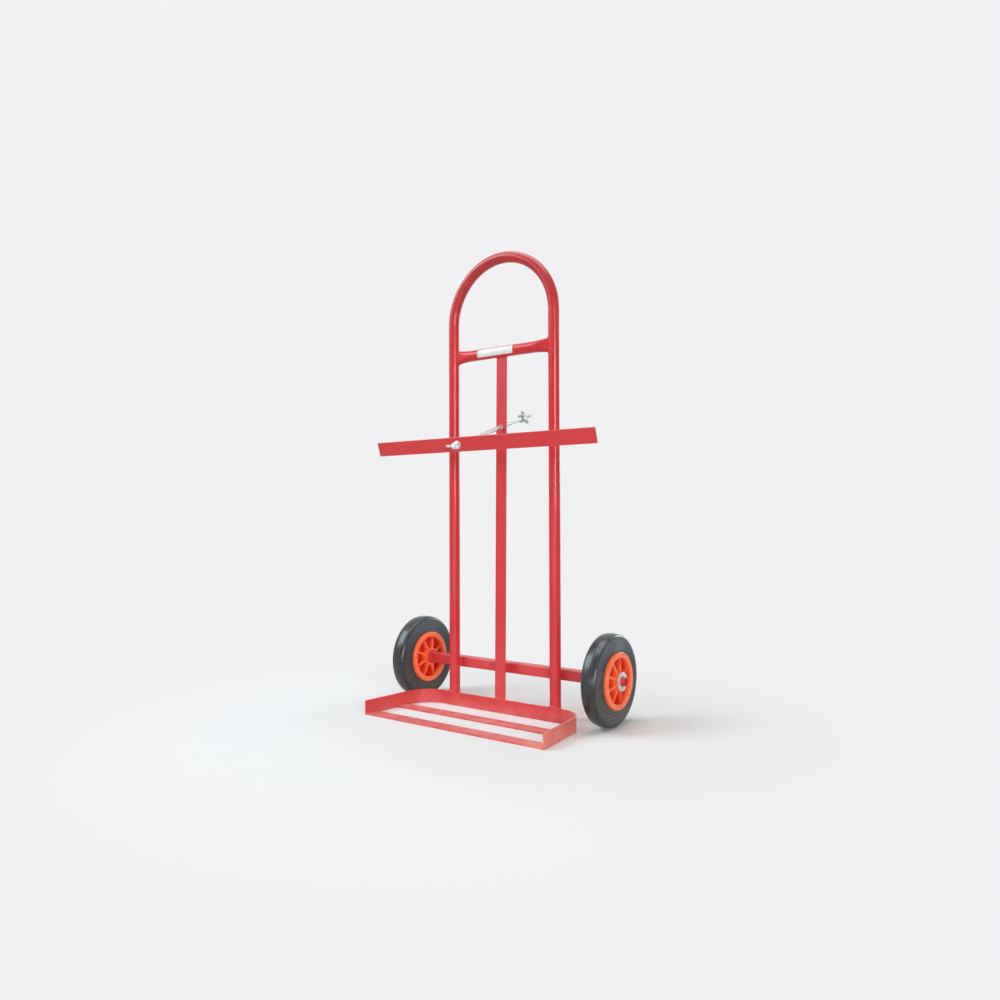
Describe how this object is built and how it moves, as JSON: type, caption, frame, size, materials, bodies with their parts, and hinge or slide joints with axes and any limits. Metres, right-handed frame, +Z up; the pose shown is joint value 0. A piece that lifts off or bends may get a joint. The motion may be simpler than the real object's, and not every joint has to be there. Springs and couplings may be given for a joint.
{
  "type": "gas cylinder trolley",
  "caption": "Gas cylinder trolley: bent tube hoop frame, flat-bar tray, axle beam with solid-tyred wheels, and a clamp bar that swings on a sliding rod held by wing nuts.",
  "frame": {"origin": "on the floor, under the centre of the middle bar of the tray", "axes": "+Z up, +Y to the back towards the hoop and wheels, +X to the right as seen from the front"},
  "size_m": [0.806, 0.41, 1.34],
  "materials": {
    "red_paint": "semi-gloss red paint on steel",
    "zinc": "bright zinc plating",
    "tyre_rubber": "solid dark grey rubber",
    "orange_plastic": "moulded orange-red plastic",
    "nylon": "natural nylon"
  },
  "bodies": {
    "frame": {"hoop_tube": "red_paint", "cross_tube": "red_paint", "centre_strut": "red_paint", "tray_rim": "red_paint", "tray_front_bar": "red_paint", "tray_middle_bar": "red_paint", "axle_beam": "red_paint", "beam_cap_left": "red_paint", "beam_cap_right": "red_paint", "axle_shaft": "red_paint", "inner_washer_left": "red_paint", "inner_washer_right": "red_paint", "outer_washer_left": "zinc", "outer_washer_right": "zinc", "split_pin_left": "zinc", "split_pin_right": "zinc"},
    "wheel_left": {"tyre_left": "tyre_rubber", "wheel_centre_left": "orange_plastic", "hub_bush_left": "nylon"},
    "wheel_right": {"tyre_right": "tyre_rubber", "wheel_centre_right": "orange_plastic", "hub_bush_right": "nylon"},
    "clamp_rod": {"clamp_rod": "zinc", "lock_nut": "zinc", "front_washer": "zinc", "rear_washer": "zinc"},
    "clamp_bar": {"clamp_bar": "red_paint"},
    "front_wing_nut": {"front_wing_nut": "zinc"},
    "rear_wing_nut": {"rear_wing_nut": "zinc"}
  },
  "joints": [
    {"name": "wheel_left_spin", "type": "hinge", "parent": "frame", "child": "wheel_left", "pos_m": [-0.332, 0.149, 0.125], "axis": [1, 0, 0], "continuous": true},
    {"name": "wheel_right_spin", "type": "hinge", "parent": "frame", "child": "wheel_right", "pos_m": [0.332, 0.149, 0.125], "axis": [1, 0, 0], "continuous": true},
    {"name": "rod_slide", "type": "slide", "parent": "frame", "child": "clamp_rod", "axis": [0, -0.9511, -0.309], "range_m": [-0.09, 0.09]},
    {"name": "clamp_bar_swing", "type": "hinge", "parent": "clamp_rod", "child": "clamp_bar", "pos_m": [0, 0.11505, 0.828], "axis": [0, -0.9511, -0.309], "range_deg": [0, 90]},
    {"name": "front_wing_nut_turn", "type": "hinge", "parent": "clamp_rod", "child": "front_wing_nut", "pos_m": [0, 0.11505, 0.828], "axis": [0, -0.9511, -0.309], "continuous": true},
    {"name": "rear_wing_nut_turn", "type": "hinge", "parent": "clamp_rod", "child": "rear_wing_nut", "pos_m": [0, 0.11505, 0.828], "axis": [0, -0.9511, -0.309], "continuous": true}
  ]
}
